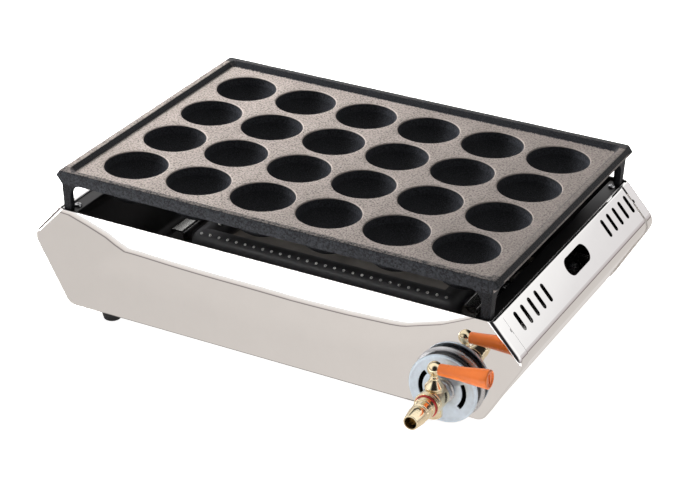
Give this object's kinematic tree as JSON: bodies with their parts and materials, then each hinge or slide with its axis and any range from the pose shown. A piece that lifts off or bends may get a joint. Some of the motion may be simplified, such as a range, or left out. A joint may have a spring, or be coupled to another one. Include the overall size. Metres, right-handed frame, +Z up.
{
  "type": "gas takoyaki cooker",
  "caption": "Table-top gas cooker for takoyaki: cast plate of round cups on a folded mirror-steel body, with a side gas tap.",
  "frame": {"origin": "on the table plane, midway between the two ends and midway between the hose nipple's tip and the rear panel", "axes": "+X to the right along the cooker's length, +Y to the back, away from the gas tap, +Z up"},
  "size_m": [0.3676, 0.2884, 0.1125],
  "materials": {
    "cast_iron": "sand-cast and seasoned, speckled",
    "polished_steel": "mirror-polished stainless sheet",
    "plain_steel": "mill-finish sheet",
    "dark_steel": "heat-proof black",
    "foot_rubber": "matt",
    "fastener_steel": "zinc plated",
    "burner_steel": "dark heat-proof",
    "mixing_tube_iron": "black, slightly glossy",
    "gasket_fibre": "pressed fibre",
    "zinc_plate": "bluish zinc plate",
    "brass": "bright turned brass",
    "orange_plastic": "moulded",
    "red_plastic": "moulded"
  },
  "bodies": {
    "cooker_body": {"front_panel": "polished_steel", "rear_panel": "polished_steel", "right_end_panel": "polished_steel", "left_end_panel": "polished_steel", "bottom_plate": "plain_steel", "heat_shield": "dark_steel", "foot_front_left": "foot_rubber", "foot_front_right": "foot_rubber", "foot_rear_left": "foot_rubber", "foot_rear_right": "foot_rubber", "foot_screws": "fastener_steel", "foot_nuts": "fastener_steel", "corner_brackets": "plain_steel", "corner_screws": "fastener_steel", "corner_nuts": "fastener_steel", "burner_ring": "burner_steel", "burner_bracket_left": "plain_steel", "burner_bracket_right": "plain_steel", "burner_screws": "fastener_steel", "burner_nuts": "fastener_steel", "bracket_screws": "fastener_steel", "bracket_nuts": "fastener_steel", "burner_gasket": "gasket_fibre", "joint_screws": "fastener_steel", "joint_nuts": "fastener_steel", "mixing_tube": "mixing_tube_iron", "spigot_nut": "brass", "gas_jet": "brass", "shutter_washer": "gasket_fibre", "shutter_spring": "fastener_steel", "shutter_nut": "brass", "tap_body": "brass", "plug_spring": "fastener_steel", "plug_cap": "brass", "hose_nipple": "brass", "hose_stop_ring": "red_plastic", "nipple_gasket": "gasket_fibre"},
    "plate": {"cooking_plate": "cast_iron"},
    "tap_valve": {"tap_plug": "brass", "tap_lever": "brass", "lever_grip": "orange_plastic"},
    "shutter": {"air_shutter": "zinc_plate"}
  },
  "joints": [
    {"name": "plate_lift", "type": "slide", "parent": "cooker_body", "child": "plate", "axis": [0, 0, 1], "range_m": [0, 0.08]},
    {"name": "tap_turn", "type": "hinge", "parent": "cooker_body", "child": "tap_valve", "pos_m": [0.135, -0.111, 0.05532], "axis": [0, 0, 1], "range_deg": [-90, 0]},
    {"name": "shutter_turn", "type": "hinge", "parent": "cooker_body", "child": "shutter", "pos_m": [0.135, -0.0993, 0.03352], "axis": [0, -1, 0], "range_deg": [0, 90]}
  ]
}
